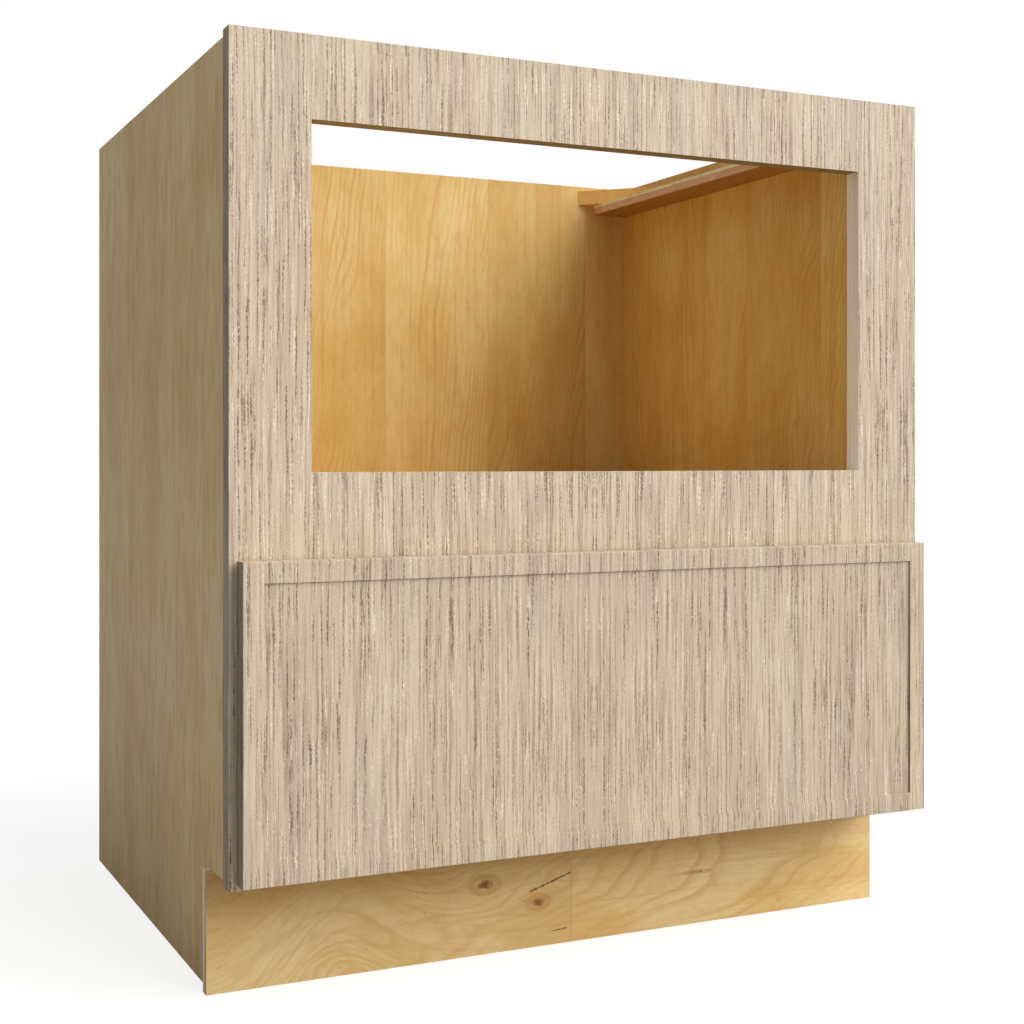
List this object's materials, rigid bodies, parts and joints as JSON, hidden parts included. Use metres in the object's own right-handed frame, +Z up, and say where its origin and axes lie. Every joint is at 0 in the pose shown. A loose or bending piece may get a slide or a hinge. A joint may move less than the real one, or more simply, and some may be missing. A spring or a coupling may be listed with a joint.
{
  "type": "kitchen base cabinet",
  "caption": "Kitchen base cabinet with a framed open bay for a microwave oven above a wide drawer on ball-bearing slides, with a recessed toe kick.",
  "frame": {"origin": "on the floor, midway between the sides and midway between the drawer front and the rear edges", "axes": "+X to the right seen from the front, +Y to the rear, +Z up"},
  "size_m": [0.762, 0.6318, 0.8763],
  "materials": {
    "face_laminate": "matt textured laminate, light ash grain, vertical",
    "maple_side": "satin clear coat on maple veneer",
    "maple_inside": "satin clear coat on maple veneer",
    "toe_kick_maple": "satin clear coat on maple veneer",
    "raw_plywood": "bare plywood",
    "brace_plywood": "bare plywood with visible plies",
    "dowel_beech": "bare beech",
    "drawer_maple": "satin clear coat",
    "drawer_bottom_ply": "satin clear coat",
    "zinc_screws": "yellow zinc",
    "slide_steel": "bright zinc",
    "ball_steel": "polished",
    "cage_plastic": "matt",
    "lever_plastic": "matt",
    "bumper_rubber": "soft, clear grey"
  },
  "bodies": {
    "cabinet": {"left_stile": "face_laminate", "right_stile": "face_laminate", "frame_dowels": "dowel_beech", "back_panel": "maple_inside", "bottom_panel": "maple_inside", "microwave_shelf": "maple_inside", "rear_shelf_cleat": "raw_plywood", "shelf_cleat_screws": "zinc_screws", "corner_brace_screws": "zinc_screws", "toe_kick_board": "toe_kick_maple", "toe_kick_rail": "raw_plywood", "runner_board_screws": "zinc_screws", "spacer_block_screws": "zinc_screws", "cabinet_channel_screws": "zinc_screws", "top_rail": "face_laminate", "middle_rail": "face_laminate", "bottom_rail": "face_laminate", "front_left_corner_brace": "brace_plywood", "front_right_corner_brace": "brace_plywood", "rear_left_corner_brace": "brace_plywood", "rear_right_corner_brace": "brace_plywood", "left_side_panel": "maple_side", "left_top_strip": "brace_plywood", "left_shelf_cleat": "raw_plywood", "left_runner_board": "raw_plywood", "left_front_spacer_block": "raw_plywood", "left_rear_spacer_block": "raw_plywood", "left_cabinet_channel": "slide_steel", "right_side_panel": "maple_side", "right_top_strip": "brace_plywood", "right_shelf_cleat": "raw_plywood", "right_runner_board": "raw_plywood", "right_front_spacer_block": "raw_plywood", "right_rear_spacer_block": "raw_plywood", "right_cabinet_channel": "slide_steel"},
    "drawer": {"drawer_channel_screws": "zinc_screws", "lever_rivets": "slide_steel", "drawer_box_front": "drawer_maple", "drawer_box_back": "drawer_maple", "drawer_box_bottom": "drawer_bottom_ply", "drawer_front": "face_laminate", "drawer_front_screws": "zinc_screws", "drawer_bumpers": "bumper_rubber", "left_drawer_channel": "slide_steel", "drawer_left_side": "drawer_maple", "right_drawer_channel": "slide_steel", "drawer_right_side": "drawer_maple"},
    "left_middle_slide": {"left_middle_channel": "slide_steel"},
    "left_outer_cage": {"left_outer_balls": "ball_steel", "left_outer_ball_cage": "cage_plastic"},
    "left_inner_cage": {"left_inner_balls": "ball_steel", "left_inner_ball_cage": "cage_plastic"},
    "left_lever": {"left_release_lever": "lever_plastic"},
    "right_middle_slide": {"right_middle_channel": "slide_steel"},
    "right_outer_cage": {"right_outer_balls": "ball_steel", "right_outer_ball_cage": "cage_plastic"},
    "right_inner_cage": {"right_inner_balls": "ball_steel", "right_inner_ball_cage": "cage_plastic"},
    "right_lever": {"right_release_lever": "lever_plastic"}
  },
  "joints": [
    {"name": "drawer_slide", "type": "slide", "parent": "cabinet", "child": "drawer", "axis": [0, -1, 0], "range_m": [0, 0.5588]},
    {"name": "left_middle_slide_travel", "type": "slide", "parent": "cabinet", "child": "left_middle_slide", "axis": [0, -1, 0], "range_m": [0, 0.2794]},
    {"name": "left_outer_cage_travel", "type": "slide", "parent": "cabinet", "child": "left_outer_cage", "axis": [0, -1, 0], "range_m": [0, 0.1397]},
    {"name": "left_inner_cage_travel", "type": "slide", "parent": "cabinet", "child": "left_inner_cage", "axis": [0, -1, 0], "range_m": [0, 0.4191]},
    {"name": "right_middle_slide_travel", "type": "slide", "parent": "cabinet", "child": "right_middle_slide", "axis": [0, -1, 0], "range_m": [0, 0.2794]},
    {"name": "right_outer_cage_travel", "type": "slide", "parent": "cabinet", "child": "right_outer_cage", "axis": [0, -1, 0], "range_m": [0, 0.1397]},
    {"name": "right_inner_cage_travel", "type": "slide", "parent": "cabinet", "child": "right_inner_cage", "axis": [0, -1, 0], "range_m": [0, 0.4191]},
    {"name": "left_release_lever_hinge", "type": "hinge", "parent": "drawer", "child": "left_lever", "pos_m": [-0.2946, -0.13405, 0.25717], "axis": [1, 0, 0], "range_deg": [0, 6], "stiffness_Nm_per_rad": 0.02},
    {"name": "right_release_lever_hinge", "type": "hinge", "parent": "drawer", "child": "right_lever", "pos_m": [0.2946, -0.13405, 0.25717], "axis": [1, 0, 0], "range_deg": [-6, 0], "stiffness_Nm_per_rad": 0.02}
  ],
  "couplings": [
    {"joint": "left_middle_slide_travel", "follows": "drawer_slide", "ratio": 0.5},
    {"joint": "left_outer_cage_travel", "follows": "drawer_slide", "ratio": 0.25},
    {"joint": "left_inner_cage_travel", "follows": "drawer_slide", "ratio": 0.75},
    {"joint": "right_middle_slide_travel", "follows": "drawer_slide", "ratio": 0.5},
    {"joint": "right_outer_cage_travel", "follows": "drawer_slide", "ratio": 0.25},
    {"joint": "right_inner_cage_travel", "follows": "drawer_slide", "ratio": 0.75}
  ]
}
